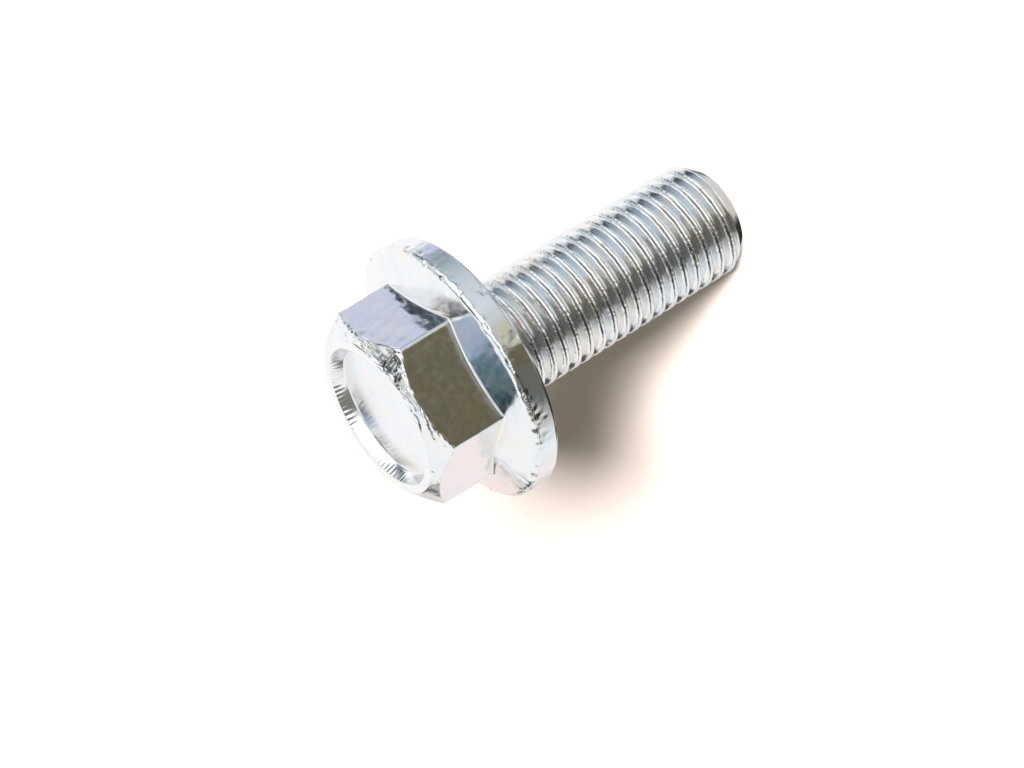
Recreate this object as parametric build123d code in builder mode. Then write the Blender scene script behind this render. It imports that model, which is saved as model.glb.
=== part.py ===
from build123d import *
from math import radians, tan
import os

# Hexagon flange bolt M10 x 1.25, 25 long, threaded up to the head.
# Lengths are in millimetres and angles in degrees.
# The bolt stands on the flat end of its point, with its head up. The origin is the middle of that
# end, and +Z runs along the axis to the head.
# The thread is drawn at its outside diameter.

# Head
hex_across_flats = 15.0
hex_corner_radius = 0.35
head_height = 9.3  # bearing face to the top of the head
crown_radius = 6.85  # flat ring on top, inside the chamfer
chamfer_angle = 40.0  # from the top of the head down to the corners

# Dish pressed into the top of the head
dish_rim_radius = 6.1
dish_floor_radius = 5.7
dish_depth = 1.1

# Flange
flange_radius = 11.25
flange_rim_height = 2.2
flange_slope = 17.0  # of the face on the head's side, against the bearing face
flange_front_fillet = 0.5  # rounding of the rim on the head's side
flange_back_edge = 0.3  # chamfer of the rim at the bearing face
hex_root_fillet = 0.4  # where the flats run into the flange

# Shank, its thread and its point
shank_length = 25.2
thread_diameter = 9.88  # M10, in the middle of tolerance 6g
neck_diameter = 9.1
neck_length = 1.0
neck_fillet = 0.6
neck_cone_angle = 45.0
point_diameter = 7.8
point_length = 1.3

# How the hexagon stands: this far from a corner on +X
hex_turn = 9.6

thread_radius = thread_diameter / 2
neck_radius = neck_diameter / 2
point_radius = point_diameter / 2

# Heights on the axis, from the point up
bearing_face = shank_length
rim_top = bearing_face + flange_rim_height
head_top = bearing_face + head_height
dish_floor = head_top - dish_depth
thread_top = bearing_face - neck_length - (thread_radius - neck_radius) / tan(radians(neck_cone_angle))

# The chamfer and the face of the flange are cones. Both are drawn beyond the hexagon.
chamfer_reach = hex_across_flats
chamfer_drop = (chamfer_reach - crown_radius) * tan(radians(chamfer_angle))
flange_cone_inner_radius = hex_across_flats / 4
flange_cone_rise = (flange_radius - flange_cone_inner_radius) * tan(radians(flange_slope))


def corner(sketch, radius, height):
    """Corner of a turned section, by its radius and its height along the axis."""
    return sketch.vertices().sort_by_distance((radius, height))[0]


with BuildPart() as flange_bolt:
    # Hexagon, its top turned to a cone
    with BuildSketch(Plane.XY.offset(rim_top)) as hexagon:
        RegularPolygon(hex_across_flats / 2, 6, major_radius=False, rotation=hex_turn)
        fillet(hexagon.vertices(), hex_corner_radius)
    extrude(amount=head_top - rim_top)
    with BuildSketch(Plane.XZ):
        with BuildLine():
            Polyline(
                (0, head_top),
                (crown_radius, head_top),
                (chamfer_reach, head_top - chamfer_drop),
                (chamfer_reach, 0),
                (0, 0),
                close=True,
            )
        make_face()
    revolve(axis=Axis.Z, mode=Mode.INTERSECT)

    # Flange, neck and shank, turned in one piece
    with BuildSketch(Plane.XZ) as turned:
        with BuildLine():
            Polyline(
                (0, 0),
                (point_radius, 0),
                (thread_radius, point_length),
                (thread_radius, thread_top),
                (neck_radius, bearing_face - neck_length),
                (neck_radius, bearing_face),
                (flange_radius, bearing_face),
                (flange_radius, rim_top),
                (flange_cone_inner_radius, rim_top + flange_cone_rise),
                (0, rim_top + flange_cone_rise),
                close=True,
            )
        make_face()
        fillet(corner(turned, flange_radius, rim_top), flange_front_fillet)
        chamfer(corner(turned, flange_radius, bearing_face), flange_back_edge)
        fillet(corner(turned, neck_radius, bearing_face), neck_fillet)
    revolve(axis=Axis.Z)

    # The flats and corners of the hexagon run into the flange with a small hollow round
    flange_face = flange_bolt.faces().filter_by(GeomType.CONE).sort_by(SortBy.AREA)[-1]
    flange_edges = flange_face.edges()
    hexagon_foot = flange_edges.filter_by(GeomType.CIRCLE, reverse=True).filter_by(GeomType.LINE, reverse=True)
    fillet(hexagon_foot, hex_root_fillet)

    # Dish in the top of the head
    with BuildSketch(Plane.XZ):
        with BuildLine():
            Polyline(
                (0, head_top),
                (dish_rim_radius, head_top),
                (dish_floor_radius, dish_floor),
                (0, dish_floor),
                close=True,
            )
        make_face()
    revolve(axis=Axis.Z, mode=Mode.SUBTRACT)

flange_bolt.part.label = "flange_bolt"
os.makedirs("parts", exist_ok=True)
export_step(flange_bolt.part, "parts/flange_bolt.step")
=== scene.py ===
from itertools import product
from math import cos, radians, sin, tan

import bpy
import numpy as np
from mathutils import Matrix, Vector


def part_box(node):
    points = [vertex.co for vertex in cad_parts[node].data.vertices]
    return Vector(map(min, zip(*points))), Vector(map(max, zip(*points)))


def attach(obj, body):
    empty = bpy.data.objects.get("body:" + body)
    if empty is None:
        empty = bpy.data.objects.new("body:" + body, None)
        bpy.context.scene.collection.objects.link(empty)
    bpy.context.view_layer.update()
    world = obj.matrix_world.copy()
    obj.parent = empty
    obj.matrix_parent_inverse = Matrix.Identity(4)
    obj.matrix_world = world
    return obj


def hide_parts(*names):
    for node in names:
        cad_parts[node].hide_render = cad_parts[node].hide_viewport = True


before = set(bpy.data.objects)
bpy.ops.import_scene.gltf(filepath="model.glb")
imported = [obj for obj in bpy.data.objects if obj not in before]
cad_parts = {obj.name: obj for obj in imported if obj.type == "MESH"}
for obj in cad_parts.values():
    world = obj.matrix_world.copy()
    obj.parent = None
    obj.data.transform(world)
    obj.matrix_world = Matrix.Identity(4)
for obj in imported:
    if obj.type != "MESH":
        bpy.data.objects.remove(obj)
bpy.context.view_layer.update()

mm = 0.001
low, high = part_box("flange_bolt")
foot = Vector(((low.x + high.x) / 2, (low.y + high.y) / 2, low.z))  # middle of the flat end of the point
headTop = (high.z - low.z) / mm
flangeRadius = (high.x - low.x) / 2 / mm
print("frame read: bolt", round(headTop, 2), "mm tall, flange", round(2 * flangeRadius, 2), "mm across")


def hexColor(code, alpha=1.0):  # sRGB hex to the linear values that Blender mixes
    values = [int(code[i : i + 2], 16) / 255 for i in (1, 3, 5)]
    return tuple(v / 12.92 if v <= 0.04045 else ((v + 0.055) / 1.055) ** 2.4 for v in values) + (alpha,)


def addNode(tree, kind, inputs=None, **settings):  # a node with its settings; inputs take a value or a socket
    node = tree.nodes.new(kind)
    for name, value in settings.items():
        setattr(node, name, value)
    for name, value in (inputs or {}).items():
        socket = node.inputs[name]
        if isinstance(value, bpy.types.NodeSocket):
            tree.links.new(value, socket)
        else:
            socket.default_value = value
    return node


def latticeNoise(points, seed):  # smooth random field from -1 to 1, one cell per unit
    cell = np.floor(points).astype(np.int64)
    part = points - cell
    part = part * part * (3 - 2 * part)
    total = np.zeros(points.shape[:-1])
    for corner in product((0, 1), repeat=3):
        at = cell + np.array(corner)
        code = (at[..., 0] * 73856093) ^ (at[..., 1] * 19349663) ^ (at[..., 2] * 83492791) ^ (seed * 40503)
        code = ((code ^ (code >> 13)) * 1274126177) & 0xFFFFFFF
        code = ((code ^ (code >> 11)) * 668265263) & 0xFFFFFFF
        weight = np.ones(points.shape[:-1])
        for axis in range(3):
            weight = weight * (part[..., axis] if corner[axis] else 1 - part[..., axis])
        total += weight * (code / 0x7FFFFFF - 1)
    return total


def stack(*columns):  # columns of numbers side by side, as points
    return np.stack(columns, -1)


def fade(value, start, end):  # 0 at start, 1 at end, smooth between
    share = np.clip((value - start) / (end - start), 0, 1)
    return share * share * (3 - 2 * share)


def bell(value, middle, spread, power=2):  # 1 at the middle, falling off on both sides
    return np.exp(-(((value - middle) / spread) ** power))


headSizes = {  # mm and degrees
    "bearingFace": 25.2,  # above the point's end
    "acrossFlats": 15.0,
    "cornerRadius": 0.35,
    "firstCorner": 9.6,  # from +X
    "crownRadius": 6.85,
    "chamferAngle": 40.0,
    "dishCentre": 0.35,  # radius of the innermost ring on the dish floor
    "dishRimRadius": 6.1,
    "dishFloorRadius": 5.7,
    "dishDepth": 1.1,
    "flangeRimHeight": 2.2,
    "flangeSlope": 17.0,
    "backEdge": 0.3,
    "neckRadius": 4.55,
    "neckStart": 24.45,  # where the turned head hands over to the shank
}
headMesh = {
    "angles": 450,
    "cornerSteps": [-1.5, -1.17, -0.85, -0.5, -0.17, 0.17, 0.5, 0.85, 1.17, 1.5],  # degrees from a corner
    "cornerGap": 1.6,  # the even steps keep off the corner by this much
    "crowding": 0.55,  # how much closer together the rings are near the rounds
    # per corner of the section, from the dish floor out and down to the neck
    "rounds": [0.12, 0.12, 0.3, 0.24, 0.2, 0.55, 0.12, 0.12, 0.6],  # mm
    "bends": [5, 4, 5, 5, 6, 8, 3, 3, 6],
    # per straight run: 0 dish floor, 1 dish wall, 2 ring, 3 chamfer, 4 flat, 5 flange, 6 rim, 7 back edge,
    # 8 bearing face, 9 neck
    "steps": [9, 6, 4, 11, 20, 11, 9, 2, 5, 2],
}


def cornerOffset(angle):  # degrees from the nearest corner of the hexagon
    return (np.degrees(angle) - headSizes["firstCorner"] + 30) % 60 - 30


def hexRadius(angle):  # distance from the axis to the rounded hexagon, by angle in radians
    half = headSizes["acrossFlats"] / 2
    rho = headSizes["cornerRadius"]
    beta = np.radians(cornerOffset(angle))
    centre = (half - rho) / cos(radians(30))
    flat = half / np.cos(np.radians(30) - np.abs(beta))
    arc = centre * np.cos(beta) + np.sqrt(np.maximum(rho**2 - (centre * np.sin(beta)) ** 2, 0))
    touch = np.arctan2(rho * sin(radians(30)), centre + rho * cos(radians(30)))
    return np.where(np.abs(beta) < touch, arc, flat)


def headAngles():  # evenly spread, with extra steps round each corner of the hexagon
    corner = headMesh["cornerSteps"]
    gap = headMesh["cornerGap"]
    even = np.linspace(0, 60, headMesh["angles"] // 6 - 8, endpoint=False)
    near = even[(even > gap) & (even < 60 - gap)]
    sector = np.sort(np.concatenate([near, np.array(corner) % 60]))
    turns = np.concatenate([sector + 60 * k for k in range(6)])
    return np.radians(np.sort((turns + headSizes["firstCorner"]) % 360))


def roundedOutline(corners):
    # corners: (angles, corner, 2). A ring on run i gets the number i, one on the round before it i - 0.5.
    rounds, bends, steps = headMesh["rounds"], headMesh["bends"], headMesh["steps"]
    count = corners.shape[1]
    starts, ends, arcs = [corners[:, 0]], [], [[]]
    for i in range(1, count - 1):
        radius = rounds[i - 1]
        before = corners[:, i] - corners[:, i - 1]
        after = corners[:, i + 1] - corners[:, i]
        before = before / np.linalg.norm(before, axis=1, keepdims=True)
        after = after / np.linalg.norm(after, axis=1, keepdims=True)
        turn = np.arccos(np.clip((before * after).sum(1), -1, 1))[:, None]
        reach = radius * np.tan(turn / 2)
        first = corners[:, i] - before * reach
        last = corners[:, i] + after * reach
        inward = after - before
        inward = inward / np.linalg.norm(inward, axis=1, keepdims=True)
        centre = corners[:, i] + inward * radius / np.cos(turn / 2)
        arc = []
        for k in range(1, bends[i - 1]):
            sweep = turn * (k / bends[i - 1])
            spoke = ((first - centre) * np.sin(turn - sweep) + (last - centre) * np.sin(sweep)) / np.sin(turn)
            arc.append(centre + spoke)
        starts.append(last)
        ends.append(first)
        arcs.append(arc)
    ends.append(corners[:, -1])
    points, runs = [], []
    for i in range(count - 1):
        points += arcs[i]
        runs += [i - 0.5] * len(arcs[i])
        for k in range(steps[i] + 1):
            share = k / steps[i]
            share -= headMesh["crowding"] * np.sin(2 * np.pi * share) / (2 * np.pi)
            points.append(starts[i] * (1 - share) + ends[i] * share)
            runs.append(i)
    return np.stack(points, 1), np.array(runs)


def headSection(angle):
    s = headSizes
    hexR = hexRadius(angle)
    one = np.ones_like(angle)
    bearing = s["bearingFace"]
    rimTop = bearing + s["flangeRimHeight"]
    chamferEnd = headTop - (hexR - s["crownRadius"]) * tan(radians(s["chamferAngle"]))
    hexFoot = rimTop + (flangeRadius - hexR) * tan(radians(s["flangeSlope"]))
    floor = headTop - s["dishDepth"]
    outline = [
        (s["dishCentre"], floor),
        (s["dishFloorRadius"], floor),
        (s["dishRimRadius"], headTop),
        (s["crownRadius"], headTop),
        (hexR, chamferEnd),
        (hexR, hexFoot),
        (flangeRadius, rimTop),
        (flangeRadius, bearing + s["backEdge"]),
        (flangeRadius - s["backEdge"], bearing),
        (s["neckRadius"], bearing),
        (s["neckRadius"], s["neckStart"]),
    ]
    return roundedOutline(np.stack([stack(r * one, z * one) for r, z in outline], 1))


angle = headAngles()
section, runs = headSection(angle)
headCount, ringCount = section.shape[:2]
print("head outline ready:", headCount, "angles,", ringCount, "rings")

headWear = {  # depths and heights in mm, places in degrees round the head from +X
    "toothCount": 92,  # marks of the punch round the dish wall
    "toothDepth": 0.075,
    "toothStart": 0.75,  # under the top of the head
    "toothFull": 0.35,
    "chamferStreak": 0.06,
    "smoothAt": 256,  # where the chamfer was left smooth
    "smoothSpread": 28,
    "rimNick": 0.19,
    "rimEdge": 27.15,  # height of the worn edge of the flange
    "rimEdgeSpread": 0.32,
    "sideNick": 0.05,
    "rimScar": 0.14,
    "scarAt": 310,  # where the rim was struck
    "scarSpread": 11,
    "scarHeight": 26.75,
    "scarTall": 0.5,
    "forgeSkin": 0.012,
    "flatWrinkle": 0.02,
    "rubbedFlat": 330,  # middle of the flat that the die rubbed smooth, from the first corner
}


def onRuns(first, last):  # 1 on these runs of the section and the rounds between them, 0 elsewhere
    return ((runs >= first) & (runs <= last)).astype(float)[None, :]


def wearHead(section):  # the worn section, and how scuffed each of its points is
    w = headWear
    tangent = np.gradient(section, axis=1)
    tangent /= np.maximum(np.linalg.norm(tangent, axis=2, keepdims=True), 1e-9)
    outward = stack(-tangent[..., 1], tangent[..., 0])
    theta = angle[:, None] * np.ones(ringCount)[None, :]
    r, z = section[..., 0], section[..., 1]
    spot = stack(r * np.cos(theta), r * np.sin(theta), z)
    place = np.degrees(theta) % 360
    chamfer, flat, rimZone = onRuns(2.5, 3.5), onRuns(4, 4), fade(r, 10.4, 10.9)
    lift = np.zeros_like(theta)

    # punch marks on the wall of the dish
    tooth = np.abs(((theta * w["toothCount"] / (2 * np.pi)) + 0.3 * latticeNoise(spot * 0.9, 3)) % 1 - 0.5) * 2
    strength = np.clip(0.65 + 0.5 * latticeNoise(spot * 0.5, 5), 0.15, 1)
    upperWall = fade(z, headTop - w["toothStart"], headTop - w["toothFull"])
    lift -= w["toothDepth"] * (tooth - 0.5) * strength * onRuns(1, 1.5) * upperWall

    # turned and scraped chamfer
    streak = latticeNoise(stack(r * 7.0, theta * 9.0, z * 7.0), 11)
    streak += 0.6 * latticeNoise(stack(r * 15.0, theta * 26.0, z * 15.0), 12)
    smoother = bell(place, w["smoothAt"], w["smoothSpread"], 4)
    lift += w["chamferStreak"] * streak * chamfer * fade(r, 6.5, 6.9) * (1 - 0.93 * smoother)

    # nicks along the rim of the flange and on its side
    bite = latticeNoise(stack(theta * 26.0, z * 2.2, r * 2.0), 21)
    fineBite = latticeNoise(stack(theta * 42.0, z * 3.0, r * 3.0), 22)
    sideBite = latticeNoise(stack(theta * 22.0, z * 2.6, r * 2.0), 23)
    rimEdge = bell(z, w["rimEdge"], w["rimEdgeSpread"]) * rimZone
    lift -= w["rimNick"] * (fade(bite, 0.2, 0.9) * 0.95 + fineBite * 0.24) * rimEdge
    lift -= w["sideNick"] * fade(sideBite, 0.25, 0.8) * onRuns(6, 6)

    # the deep scars where the rim was struck
    scar = latticeNoise(stack(theta * 38.0 + z * 3.0, z * 3.5, r * 2.0), 24)
    struck = bell(place, w["scarAt"], w["scarSpread"]) * bell(z, w["scarHeight"], w["scarTall"])
    lift -= w["rimScar"] * fade(scar, -0.1, 0.7) * struck * onRuns(5, 6) * rimZone

    # wrinkles of the forging on the flats, a tenth as deep on the rubbed one
    fromRubbed = (np.degrees(theta) - headSizes["firstCorner"] - w["rubbedFlat"] + 180) % 360 - 180
    rubbed = fade(np.abs(fromRubbed), 29, 31) * 0.9 + 0.1
    fold = latticeNoise(stack(theta * 9.0, z * 2.4, r * 0 + 1), 33)
    fold += 0.6 * latticeNoise(stack(theta * 24.0 + z, z * 4.5, r * 0 + 2), 34)
    lift += w["flatWrinkle"] * fold * rubbed * flat

    # forged skin, but not on the turned bearing face
    skin = latticeNoise(spot * 1.1, 31) + 0.5 * latticeNoise(spot * 2.6, 32)
    lift += w["forgeSkin"] * skin * fade(r, 4.6, 5.6) * (1 - onRuns(7.5, 9)) * (1 - 0.75 * flat * (1 - rubbed))
    lift *= 1 - onRuns(9, 9)

    section = section + outward * lift[..., None]
    section[..., 0] = np.minimum(section[..., 0], flangeRadius)
    section[..., 1] = np.minimum(section[..., 1], headTop)
    r, z = section[..., 0], section[..., 1]
    hexEdge = bell(cornerOffset(theta), 0, 1.6) * onRuns(3.5, 4.5)
    worn = np.clip(chamfer * fade(r, 6.4, 6.9) + rimEdge + 0.7 * hexEdge, 0, 1)
    scuffed = 0.02 + 0.33 * worn * (1 - 0.8 * smoother) + 0.25 * rimEdge
    return stack(r * np.cos(theta), r * np.sin(theta), z), scuffed, onRuns(0, 0.5) + 0 * theta


headPoints, headWorn, headMatt = wearHead(section)
print("head worn and marked:", headPoints.shape)

threadSizes = {  # mm
    "radius": 4.94,
    "pitch": 1.25,
    "grooveHeight": 23.86,  # middle of the groove on +X, above the point's end
    "pointRadius": 3.9,
    "pointLength": 1.3,
    "endRound": 0.1,
    "runOutTop": 24.2,  # height where the shank has narrowed to the neck
    "blend": 0.07,  # softness where the thread meets the point and the neck
    "fadeIn": (23.9, 22.7),  # the first groove grows over about one turn
    "anglesPerTurn": 84,
    "dent": 0.015,
    "chip": 0.05,  # bites out of the crest
    "waver": 0.045,  # how far the crest strays along the axis
}
# one turn of the rolled thread, from the crease along its crest up to the next: pitches, and depth in mm
rolledProfile = [
    (0.0, 0.08),
    (0.02, 0.073),
    (0.15, 0.016),
    (0.175, 0.004),
    (0.187, 0.0),
    (0.197, 0.004),
    (0.21, 0.0165),
    (0.255, 0.052),
    (0.268, 0.066),
    (0.28, 0.088),
    (0.32, 0.18),
    (0.38, 0.33),
    (0.43, 0.46),
    (0.47, 0.565),
    (0.486, 0.592),
    (0.5, 0.598),  # the root
    (0.516, 0.588),
    (0.56, 0.505),
    (0.65, 0.34),
    (0.75, 0.155),
    (0.81, 0.05),
    (0.84, 0.012),
    (0.862, 0.0),
    (0.888, 0.002),
    (0.905, 0.0125),
    (0.985, 0.072),
]


def threadRadius(turn, height):  # turn in radians from +X, height in mm
    t = threadSizes
    phase = (height - t["grooveHeight"]) / t["pitch"] - turn / (2 * np.pi) + 0.5  # whole numbers on the crests
    at, depth = np.array(rolledProfile + [(1.0, rolledProfile[0][1])]).T
    radius = t["radius"] - np.interp(phase % 1, at, depth) * fade(height, *t["fadeIn"])
    cone = t["pointRadius"] + height / t["pointLength"] * (t["radius"] - t["pointRadius"])
    runOut = headSizes["neckRadius"] + np.maximum(t["runOutTop"] - height, 0)
    for limit in (cone, runOut):
        blend = np.clip(0.5 + 0.5 * (radius - limit) / t["blend"], 0, 1)
        radius = radius * (1 - blend) + limit * blend - t["blend"] * blend * (1 - blend) * 0.5
    return radius


def drawShank():  # a strip that runs down the shank against the turns, crest after crest
    t = threadSizes
    acrossPitch = 1 - np.array([1.0] + [at for at, _ in rolledProfile[:0:-1]])  # 0 on a crest, 1 on the next down
    turns = int(np.ceil((headSizes["neckStart"] - t["endRound"]) / t["pitch"])) + 3
    k = np.arange(t["anglesPerTurn"] * turns + 1)[:, None]
    top = t["grooveHeight"] + t["pitch"] * 2.5
    height = top - t["pitch"] * (k / t["anglesPerTurn"]) - t["pitch"] * acrossPitch[None, :]
    height = np.clip(height, t["endRound"], headSizes["neckStart"])
    turn = -2 * np.pi * k / t["anglesPerTurn"] + 0 * height
    radius = threadRadius(turn, height)
    spot = stack(radius * np.cos(turn), radius * np.sin(turn), height)
    nick = latticeNoise(spot * 1.6, 41) + 0.8 * latticeNoise(spot * 5.2, 42)
    chip = fade(latticeNoise(spot * 2.4, 43), 0.35, 0.95)
    waver = latticeNoise(spot * np.array([2.3, 2.3, 1.1]), 44)
    crestShare = fade(radius, 4.55, 4.9)
    body = fade(height, 0.5, 1.6) * (1 - fade(height, 23.6, 24.1))  # both ends stay clean
    radius = np.minimum(radius + body * (t["dent"] * nick - t["chip"] * chip * crestShare), t["radius"])
    height = height + t["waver"] * waver * body * crestShare
    scuffed = 0.1 + 0.75 * fade(radius, 4.78, 4.9)
    return stack(radius * np.cos(turn), radius * np.sin(turn), height), scuffed


shankPoints, shankWorn = drawShank()
print("thread drawn:", shankPoints.shape)

# rings that close the point, as radius and height in mm
pointRings = [(3.94, 0.045), (3.87, 0.01), (3.78, 0.0), (2.4, 0.0), (0.9, 0.0)]


def addPoints(body, points, worn, matt):  # gives the numbers of the new points
    start = sum(len(p) for p in body["points"])
    body["points"].append(points)
    body["worn"].append(np.broadcast_to(worn, len(points)))
    body["matt"].append(np.broadcast_to(matt, len(points)))
    return start + np.arange(len(points))


def addHead(body):  # gives the last ring, which meets the shank
    head = addPoints(body, headPoints.reshape(-1, 3), headWorn.reshape(-1), headMatt.reshape(-1))
    head = head.reshape(headCount, ringCount)
    for i in range(headCount):
        n = (i + 1) % headCount
        for j in range(ringCount - 1):
            body["faces"].append((head[i, j], head[i, j + 1], head[n, j + 1], head[n, j]))
    centre = addPoints(body, np.array([[0, 0, headTop - headSizes["dishDepth"]]]), 0.03, 1.0)[0]
    for i in range(headCount):
        body["faces"].append((centre, head[i, 0], head[(i + 1) % headCount, 0]))
    return head[:, -1]


def addShank(body):  # gives its top and foot rings
    # points of the strip that fall together at its two clipped ends share one vertex
    flat = shankPoints.reshape(-1, 3)
    _, firstUse, shared = np.unique(np.round(flat, 5), axis=0, return_index=True, return_inverse=True)
    numbers = addPoints(body, flat[firstUse], shankWorn.reshape(-1)[firstUse], 0.0)
    strip = numbers[shared.reshape(-1)].reshape(shankPoints.shape[:2])
    perTurn = threadSizes["anglesPerTurn"]
    steps, across = len(strip) - 1, strip.shape[1]
    for i in range(steps):
        for j in range(across):
            if j < across - 1:
                quad = (strip[i, j], strip[i, j + 1], strip[i + 1, j + 1], strip[i + 1, j])
            elif i + perTurn < steps:
                quad = (strip[i, j], strip[i + perTurn, 0], strip[i + 1 + perTurn, 0], strip[i + 1, j])
            else:
                continue
            corners = [v for v, following in zip(quad, quad[1:] + quad[:1]) if v != following]
            if len(corners) > 2:
                body["faces"].append(tuple(corners[::-1]))
    rings = []
    for level in (headSizes["neckStart"], threadSizes["endRound"]):
        points = flat[firstUse]
        at = np.where(np.abs(points[:, 2] - level) < 1e-6)[0]
        rings.append(numbers[at[np.argsort(np.arctan2(points[at, 1], points[at, 0]) % (2 * np.pi))]])
    return rings


def joinHeadToShank(body, headRing, topRing):  # one face per step of the coarser ring
    def nearest(turn):
        return int(np.argmin(np.abs((angle - turn + np.pi) % (2 * np.pi) - np.pi)))

    count = len(topRing)
    for n in range(count):
        first = nearest(2 * np.pi * n / count)
        last = nearest(2 * np.pi * (n + 1) / count)
        if last < first:
            last += headCount
        arc = [headRing[m % headCount] for m in range(first, last + 1)]
        body["faces"].append(tuple([topRing[n], topRing[(n + 1) % count]] + arc[::-1]))


def closePoint(body, ring):
    turn = 2 * np.pi * np.arange(len(ring)) / len(ring)
    for radius, level in pointRings:
        inner = addPoints(body, stack(radius * np.cos(turn), radius * np.sin(turn), level + 0 * turn), 0.4, 0.0)
        for n in range(len(ring)):
            m = (n + 1) % len(ring)
            body["faces"].append((ring[n], inner[n], inner[m], ring[m]))
        ring = inner
    body["faces"].append(tuple(ring[::-1]))


def buildBolt():
    body = {"points": [], "worn": [], "matt": [], "faces": []}  # worn and matt are read by the plating
    headRing = addHead(body)
    topRing, footRing = addShank(body)
    print("rings:", len(topRing), len(footRing))
    joinHeadToShank(body, headRing, topRing)
    closePoint(body, footRing)
    mesh = bpy.data.meshes.new("flangeBolt")
    points = np.concatenate(body["points"]) * mm + np.array(foot)
    mesh.from_pydata(points.tolist(), [], [tuple(int(v) for v in face) for face in body["faces"]])
    mesh.attributes.new("worn", "FLOAT", "POINT").data.foreach_set("value", np.concatenate(body["worn"]))
    mesh.attributes.new("matt", "FLOAT", "POINT").data.foreach_set("value", np.concatenate(body["matt"]))
    mesh.validate()
    mesh.update()
    mesh.polygons.foreach_set("use_smooth", [True] * len(mesh.polygons))
    bolt = bpy.data.objects.new("flangeBolt", mesh)
    bpy.context.scene.collection.objects.link(bolt)
    triangles = sum(len(polygon.vertices) - 2 for polygon in mesh.polygons)
    print("bolt mesh:", len(mesh.vertices), "points,", triangles, "triangles")
    return bolt


zincLook = {  # sizes and depths in mm
    "base": "#F1F2F3",
    "blueTint": "#ECF0F4",
    "warmTint": "#F4F1ED",
    "filmSize": 2.5,  # patches of thicker and thinner passivation
    "grainSize": 0.12,  # crystals of the plating, drawn coarser than the real hundredths of a mm
    "grainDepth": 0.01,
    "grainStrength": 0.3,
    "skinSize": 0.5,  # unevenness of the forged steel below
    "skinDepth": 0.03,
    "skinStrength": 0.1,
    "scuffSize": 0.3,
    "scuffDepth": 0.08,
    "roughness": (0.08, 0.17),
    "dishRoughness": 0.1,  # added on the floor of the dish
}


def zincPlating():
    # Bright zinc with a clear blue passivation on forged and rolled steel. It is almost a mirror, so the eye
    # sees the room in it; the faint blue and straw film, the uneven skin below and the scuffed edges break
    # that picture up.
    look = zincLook
    material = bpy.data.materials.new("brightZincOnForgedSteel")
    material.use_nodes = True
    tree = material.node_tree
    tree.nodes.clear()
    place = addNode(tree, "ShaderNodeTexCoord").outputs["Object"]
    fields = {}
    for name, detail in (("film", 3.0), ("grain", 2.0), ("skin", 4.0), ("scuff", 4.0)):
        scale = 1 / (look[name + "Size"] * mm)
        noise = addNode(tree, "ShaderNodeTexNoise", {"Vector": place, "Scale": scale, "Detail": detail})
        fields[name] = noise.outputs["Fac"]
    tint = addNode(tree, "ShaderNodeValToRGB", {"Fac": fields["film"]})
    ramp = tint.color_ramp
    ramp.elements[0].position, ramp.elements[0].color = 0.35, hexColor(look["blueTint"])
    ramp.elements[1].position, ramp.elements[1].color = 0.65, hexColor(look["warmTint"])
    ramp.elements.new(0.5).color = hexColor(look["base"])
    smooth, rough = look["roughness"]
    patchy = addNode(
        tree,
        "ShaderNodeMapRange",
        {"Value": fields["skin"], "From Min": 0.3, "From Max": 0.7, "To Min": smooth, "To Max": rough},
    ).outputs["Result"]
    worn = addNode(tree, "ShaderNodeAttribute", attribute_name="worn").outputs["Fac"]
    matt = addNode(tree, "ShaderNodeAttribute", attribute_name="matt").outputs["Fac"]
    roughness = addNode(
        tree, "ShaderNodeMath", {0: matt, 1: look["dishRoughness"], 2: patchy}, operation="MULTIPLY_ADD"
    ).outputs["Value"]
    bump = None
    strengths = {"grain": look["grainStrength"], "skin": look["skinStrength"], "scuff": worn}
    for name, strength in strengths.items():
        inputs = {"Height": fields[name], "Strength": strength, "Distance": look[name + "Depth"] * mm}
        if bump:
            inputs["Normal"] = bump
        bump = addNode(tree, "ShaderNodeBump", inputs).outputs["Normal"]
    shader = addNode(
        tree,
        "ShaderNodeBsdfPrincipled",
        {"Base Color": tint.outputs["Color"], "Metallic": 1.0, "Roughness": roughness, "Normal": bump},
    )
    addNode(tree, "ShaderNodeOutputMaterial", {"Surface": shader.outputs["BSDF"]})
    return material


bolt = buildBolt()
bolt.data.materials.append(zincPlating())
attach(bolt, "root")
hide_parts("flange_bolt")
print("zinc plating on")

floorLook = {"halfSize": 1.6, "color": "#F4F2EF", "roughness": 0.9}  # metres; matt white card


def paleFloor():
    size = floorLook["halfSize"]
    mesh = bpy.data.meshes.new("paleFloor")
    corners = [Vector((x * size, y * size, 0)) + foot for x, y in ((-1, -1), (1, -1), (1, 1), (-1, 1))]
    mesh.from_pydata([tuple(corner) for corner in corners], [], [(0, 1, 2, 3)])
    floor = bpy.data.objects.new("paleFloor", mesh)
    bpy.context.scene.collection.objects.link(floor)
    # white card with no gloss, so that only the shadow shows on it
    material = bpy.data.materials.new("whiteCard")
    material.use_nodes = True
    shader = material.node_tree.nodes["Principled BSDF"]
    shader.inputs["Base Color"].default_value = hexColor(floorLook["color"])
    shader.inputs["Roughness"].default_value = floorLook["roughness"]
    shader.inputs["Specular IOR Level"].default_value = 0.0
    mesh.materials.append(material)
    floor.visible_glossy = False  # the metal mirrors the surround instead


paleFloor()

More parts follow.
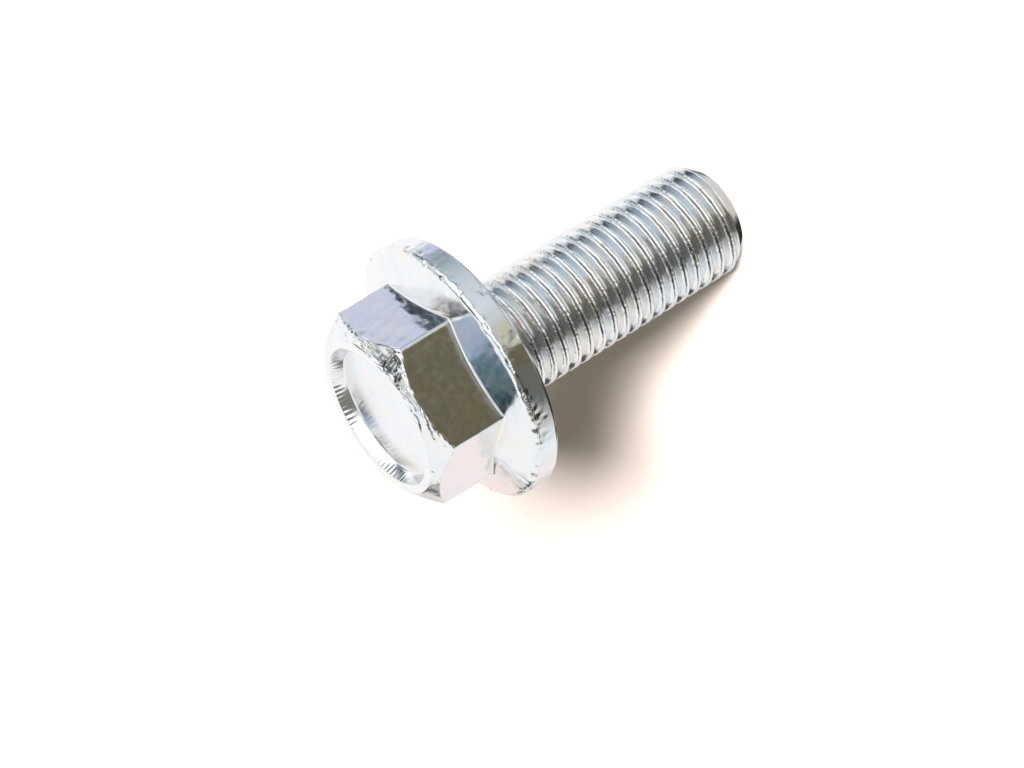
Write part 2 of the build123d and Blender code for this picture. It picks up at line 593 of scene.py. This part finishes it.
lightColor = (1.0, 0.86, 0.83)  # linear, slightly pink
keyLights = [
    # the tall soft window, as a large light and a small one below it: azimuth, elevation, size in degrees, strength
    ("windowHigh", -4.5, 30.0, 12.0, 8.0),
    ("windowLow", -3.0, 18.0, 8.0, 2.0),
]
surroundLook = {
    "walls": "#DDE0E3",  # above the curtain
    "curtainTop": (11.0, 20.0),  # elevation in degrees over which it ends
    "shade": "#746C5E",  # what is left in the shadow
    "backdrop": 1.1,  # strength of the plain white behind the bolt
}
curtain = [
    # the walls round the table, up to a little above it: azimuth in degrees and colour
    (-180, "#DCD8D4"),  # pale wall behind the bolt
    (-120, "#FFFFFF"),  # sunlit corner
    (-100, "#DDE0E2"),
    (-70, "#686B67"),  # dark doorway
    (-40, "#6A6C66"),
    (-10, "#C4C6C2"),
    (20, "#DCE5EB"),  # daylight on the near wall
    (50, "#C8D4DC"),
    (80, "#8E9FAC"),  # blue shade beside the window
    (110, "#FFFFFF"),  # the window side
    (170, "#FFFFFF"),
    (180, "#DCD8D4"),
]
surround = [
    # name, middle and half width in azimuth, the same in elevation, the soft edge of each, colour, strength
    ("pole", 0, 180, -90, 18, 10, 6, "#D8D2CC", 1.0),
    ("ground", 0, 180, -52, 11, 10, 8, "#33312D", 1.0),
    ("groundFront", 15, 50, -54, 12, 20, 12, "#857B70", 1.0),
    ("whiteFloor", 104, 36, -60, 22, 12, 6, "#DADDE0", 1.0),
    ("ceiling", 0, 180, 90, 28, 10, 10, "#FFFFFF", 1.0),
    ("whiteWall", -170, 74, 40, 26, 12, 12, "#FFFFFF", 1.0),
    ("whiteCorner", 140, 28, 15, 38, 10, 7, "#FFFFFF", 1.05),
    ("windowWall", 17, 48, 30, 21, 8, 4, "#FFFFFF", 1.3),
    ("dimCorner", -66, 20, 34, 16, 9, 6, "#7A7872", 1.0),
    ("paleDoor", -92, 7, 15, 8, 5, 4, "#FFFFFF", 1.0),
    ("shelfShade", 28, 30, 0, 6, 12, 4, "#A4B5C2", 1.0),
    ("slateHigh", 84, 9, 5, 10, 6, 6, "#76899A", 1.0),
    ("duskHigh", 64, 30, 68, 6, 14, 5, "#30363A", 1.0),
    ("chamferShade", -17, 14, 75, 5, 8, 5, "#A4AAAC", 1.0),
    ("darkCoat", -56, 16, -6, 7, 9, 6, "#30302C", 1.0),
    ("lilacCard", 95, 4, -22, 6, 3, 4, "#D2D6EA", 1.0),
    ("wedgeCard", 88, 6, -1, 7, 3, 5, "#3E4248", 1.0),
    ("linkCard", 105, 6, 54, 5, 3, 4, "#2C3840", 1.0),
    ("oliveLap", -31, 8, -22, 7, 2, 3, "#69634F", 1.0),
    ("amberShelf", -10, 7, -22, 3, 5, 2, "#CFC6B0", 1.0),
    ("tealScreen", -46, 9, 50, 8, 6, 6, "#0E2E35", 1.0),
    ("steelScreen", -32, 6, 57, 6, 6, 6, "#52707C", 1.0),
    ("lilacScreen", -14, 9, 56, 6, 6, 6, "#AEBCD2", 1.0),
    ("pinkTable", -149, 8, -22, 6, 4, 5, "#FFF4F3", 1.0),
    ("pinkPost", 178, 7, 10, 9, 5, 4, "#FFF0EA", 1.0),
    ("greyPost", -154, 6, 13, 6, 4, 5, "#B4B2AD", 1.0),
    ("darkPost", -170, 6, 15, 6, 3, 4, "#4E4E4A", 1.0),
]


def roomDirection(azimuth, elevation):
    a, e = radians(azimuth), radians(elevation)
    return (cos(e) * cos(a), cos(e) * sin(a), sin(e))


def buildSurround():
    world = bpy.data.worlds.new("studioSurround")
    world.use_nodes = True
    tree = world.node_tree
    tree.nodes.clear()
    math = "ShaderNodeMath"
    direction = addNode(tree, "ShaderNodeTexCoord").outputs["Generated"]
    axes = addNode(tree, "ShaderNodeSeparateXYZ", {"Vector": direction}).outputs
    around = addNode(tree, math, {0: axes["Y"], 1: axes["X"]}, operation="ARCTAN2").outputs["Value"]
    rise = addNode(tree, math, {0: axes["Z"]}, operation="ARCSINE").outputs["Value"]
    azimuth = addNode(tree, math, {0: around}, operation="DEGREES").outputs["Value"]
    elevation = addNode(tree, math, {0: rise}, operation="DEGREES").outputs["Value"]

    share = addNode(tree, math, {0: azimuth, 1: 1 / 360, 2: 0.5}, operation="MULTIPLY_ADD").outputs["Value"]
    folds = addNode(tree, "ShaderNodeValToRGB", {"Fac": share})
    ramp = folds.color_ramp
    for at, code in curtain[1:-1]:
        ramp.elements.new(at / 360 + 0.5).color = hexColor(code)
    ramp.elements[0].color = hexColor(curtain[0][1])
    ramp.elements[-1].color = hexColor(curtain[-1][1])
    full, gone = surroundLook["curtainTop"]
    hem = addNode(
        tree,
        "ShaderNodeMapRange",
        {"Value": elevation, "From Min": gone, "From Max": full},
        interpolation_type="SMOOTHSTEP",
    ).outputs["Result"]
    # inputs 6 and 7 and output 2 of a mix node are its colours
    layers = {"Factor": hem, 6: hexColor(surroundLook["walls"]), 7: folds.outputs["Color"]}
    color = addNode(tree, "ShaderNodeMix", layers, data_type="RGBA").outputs[2]

    for name, midAz, halfAz, midEl, halfEl, softAz, softEl, code, strength in surround:
        aside = addNode(tree, math, {0: azimuth, 1: float(midAz)}, operation="SUBTRACT").outputs["Value"]
        aside = addNode(tree, math, {0: aside, 1: 180.0, 2: -180.0}, operation="WRAP").outputs["Value"]
        above = addNode(tree, math, {0: elevation, 1: float(midEl)}, operation="SUBTRACT").outputs["Value"]
        inside = []
        for offset, half, soft in ((aside, halfAz, softAz), (above, halfEl, softEl)):
            away = addNode(tree, math, {0: offset}, operation="ABSOLUTE").outputs["Value"]
            edge = addNode(
                tree,
                "ShaderNodeMapRange",
                {"Value": away, "From Min": half + soft, "From Max": half},
                interpolation_type="SMOOTHSTEP",
            )
            inside.append(edge.outputs["Result"])
        card = addNode(tree, math, {0: inside[0], 1: inside[1]}, operation="MULTIPLY").outputs["Value"]
        shine = tuple(strength * v for v in hexColor(code)[:3]) + (1,)
        mix = addNode(tree, "ShaderNodeMix", {"Factor": card, 6: color, 7: shine}, data_type="RGBA", label=name)
        color = mix.outputs[2]

    # the metal sees the room, the floor only a dim glow, and the camera a plain white
    rays = addNode(tree, "ShaderNodeLightPath").outputs
    room = addNode(tree, "ShaderNodeBackground", {"Color": color, "Strength": 1.0}).outputs[0]
    dim = addNode(tree, "ShaderNodeBackground", {"Color": hexColor(surroundLook["shade"]), "Strength": 1.0})
    white = {"Color": (1, 1, 1, 1), "Strength": surroundLook["backdrop"]}
    plain = addNode(tree, "ShaderNodeBackground", white).outputs[0]
    lit = addNode(tree, "ShaderNodeMixShader", {0: rays["Is Diffuse Ray"], 1: room, 2: dim.outputs[0]}).outputs[0]
    both = addNode(tree, "ShaderNodeMixShader", {0: rays["Is Camera Ray"], 1: lit, 2: plain})
    addNode(tree, "ShaderNodeOutputWorld", {"Surface": both.outputs["Shader"]})
    bpy.context.scene.world = world


def hangKeyLights():
    for name, azimuth, elevation, size, strength in keyLights:
        data = bpy.data.lights.new(name, "SUN")
        data.angle = radians(size)
        data.color = lightColor
        data.energy = strength
        light = bpy.data.objects.new(name, data)
        bpy.context.scene.collection.objects.link(light)
        light.rotation_mode = "QUATERNION"
        light.rotation_quaternion = Vector(roomDirection(azimuth, elevation)).to_track_quat("Z", "Y")
        light.visible_glossy = False  # it lays the shadow; the cards above make the shine


buildSurround()
hangKeyLights()
print("surround and lights up:", len(surround), "cards")

cameraView = {
    "lens": 113.53,  # mm, on a sensor 36 mm wide
    "aim": (-0.33, -3.35, 23.42),  # mm from the middle of the point's end
    "distance": 256.0,
    "azimuth": -13.248,
    "elevation": 23.059,
    "roll": -121.895,
}


def placeCamera():
    view = cameraView
    data = bpy.data.cameras.new("camera")
    data.lens = view["lens"]
    data.sensor_width = 36.0
    data.clip_start = 0.01
    camera = bpy.data.objects.new("camera", data)
    bpy.context.scene.collection.objects.link(camera)
    back = Vector(roomDirection(view["azimuth"], view["elevation"]))
    right = Vector((0, 0, 1)).cross(back).normalized()
    up = back.cross(right)
    roll = radians(view["roll"])
    turnedRight = right * cos(roll) + up * sin(roll)
    turnedUp = up * cos(roll) - right * sin(roll)
    place = foot + Vector(view["aim"]) * mm + back * view["distance"] * mm
    camera.matrix_world = Matrix.Translation(place) @ Matrix((turnedRight, turnedUp, back)).transposed().to_4x4()
    bpy.context.scene.camera = camera


placeCamera()
bpy.context.scene.view_settings.view_transform = "Standard"
bpy.context.scene.view_settings.look = "None"
print("camera set")
